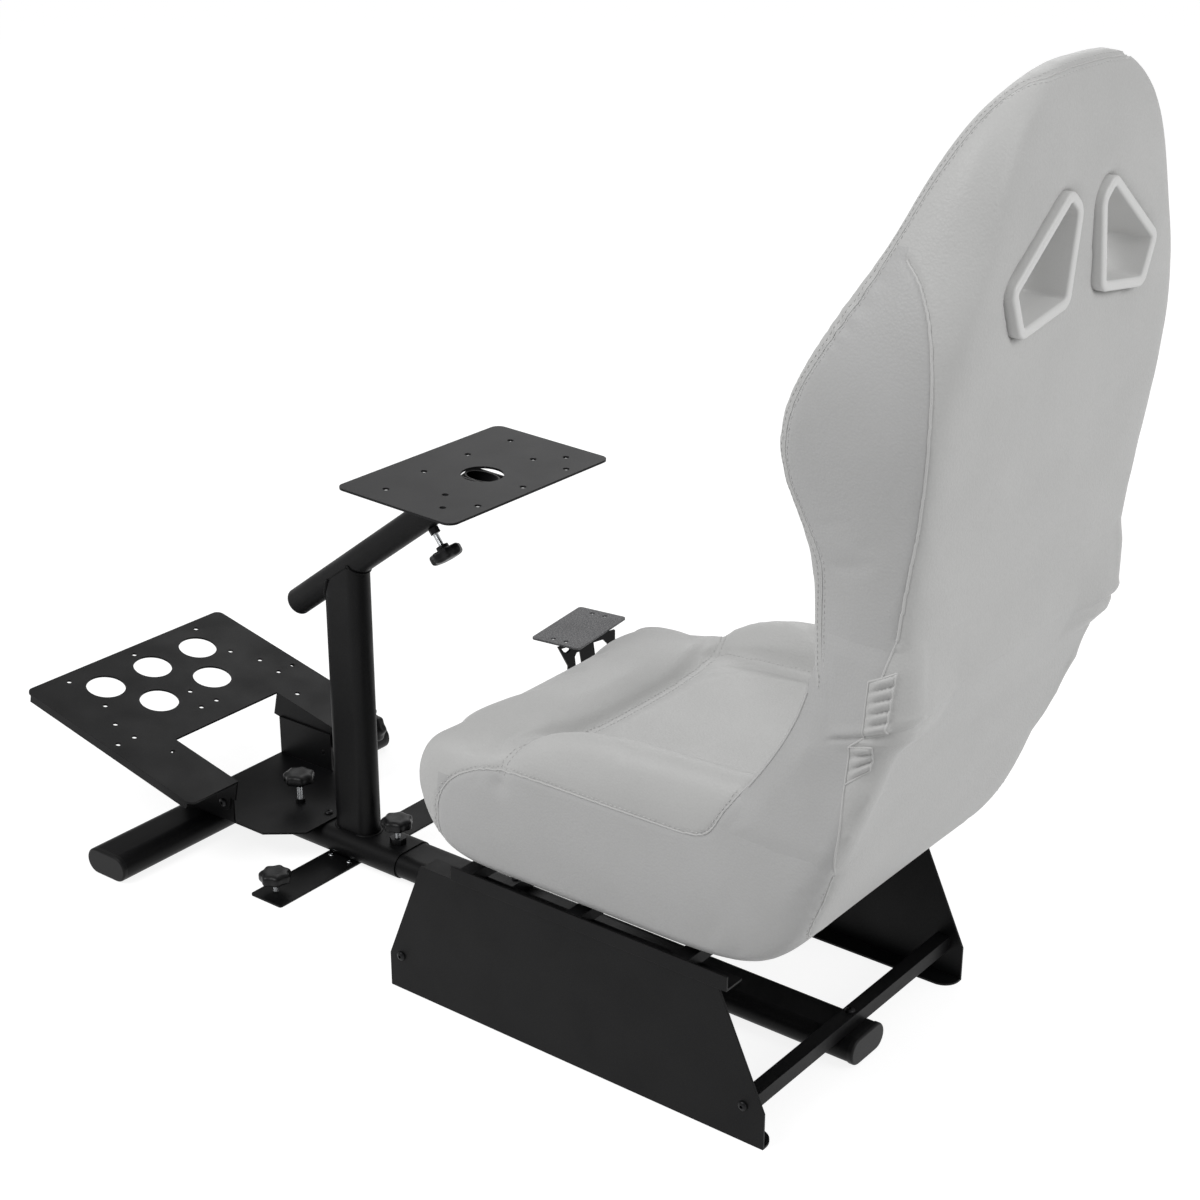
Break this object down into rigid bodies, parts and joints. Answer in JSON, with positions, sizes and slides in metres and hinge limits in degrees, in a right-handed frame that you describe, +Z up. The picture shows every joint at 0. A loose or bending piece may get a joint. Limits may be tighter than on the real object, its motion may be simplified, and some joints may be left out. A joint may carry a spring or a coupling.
{
  "type": "sim racing cockpit",
  "caption": "Steel driving frame with a sliding wheel column, tilting pedal deck, shifter plate and a reclining padded bucket seat.",
  "frame": {"origin": "on the floor, in the middle plane, under the upright", "axes": "+X to the driver's left, +Y rearward along the spine, +Z up"},
  "size_m": [0.7917, 1.5961, 1.277],
  "materials": {
    "powder_coated_frame": "fine-texture black powder coat",
    "wheel_plate_coat": "satin black powder coat",
    "shifter_plate_coat": "coarse-grain black powder coat",
    "black_fasteners": "black zinc",
    "zinc_fasteners": "bright zinc plate",
    "knob_plastic": "moulded, matte black",
    "cap_plastic": "moulded, satin black",
    "bezel_plastic": "moulded, pale grey",
    "seat_vinyl": "grained pale grey vinyl"
  },
  "bodies": {
    "base": {"spine_tube": "powder_coated_frame", "spine_end_cap": "cap_plastic", "side_plate_left": "powder_coated_frame", "side_plate_right": "powder_coated_frame", "seat_rail_left": "powder_coated_frame", "seat_rail_right": "powder_coated_frame", "crossbar_front": "powder_coated_frame", "crossbar_middle": "powder_coated_frame", "crossbar_rear": "powder_coated_frame", "cross_tube_front": "powder_coated_frame", "cross_tube_rear": "powder_coated_frame", "frame_bolts": "black_fasteners", "shifter_arm": "powder_coated_frame", "shifter_arm_bolts": "black_fasteners", "shifter_riser": "powder_coated_frame", "shifter_plate": "shifter_plate_coat", "seat_cushion": "seat_vinyl", "recliner_left": "black_fasteners", "recliner_right": "black_fasteners"},
    "front_frame": {"front_foot": "powder_coated_frame", "foot_end_caps": "cap_plastic", "sleeve_tube": "powder_coated_frame", "floor_bar": "powder_coated_frame", "floor_bar_screws": "zinc_fasteners", "upright_tube": "powder_coated_frame", "column_tube": "powder_coated_frame", "column_plug": "cap_plastic", "pedal_bracket": "powder_coated_frame", "bracket_bolt": "black_fasteners", "rail_knob": "knob_plastic", "bracket_knob": "knob_plastic", "bar_knob": "knob_plastic", "column_knob": "knob_plastic", "clamp_studs": "zinc_fasteners", "clamp_nuts": "black_fasteners"},
    "wheel_deck": {"column_stem": "powder_coated_frame", "wheel_plate": "wheel_plate_coat", "wheel_plate_cheeks": "powder_coated_frame"},
    "pedal_deck_body": {"pedal_deck": "powder_coated_frame", "pivot_bolt": "black_fasteners", "tilt_stud": "zinc_fasteners", "tilt_knob": "knob_plastic"},
    "backrest": {"seat_back": "seat_vinyl", "harness_bezels": "bezel_plastic"}
  },
  "joints": [
    {"name": "rail_slide", "type": "slide", "parent": "base", "child": "front_frame", "axis": [0, 1, 0], "range_m": [-0.1, 0.12]},
    {"name": "wheel_slide", "type": "slide", "parent": "front_frame", "child": "wheel_deck", "axis": [0, 0.7986, 0.6018], "range_m": [0, 0.08]},
    {"name": "pedal_tilt", "type": "hinge", "parent": "front_frame", "child": "pedal_deck_body", "pos_m": [0, -0.172, 0.074], "axis": [-1, 0, 0], "range_deg": [-10, 20]},
    {"name": "seat_recline", "type": "hinge", "parent": "base", "child": "backrest", "pos_m": [0, 0.96, 0.525], "axis": [-1, 0, 0], "range_deg": [-10, 45]}
  ]
}
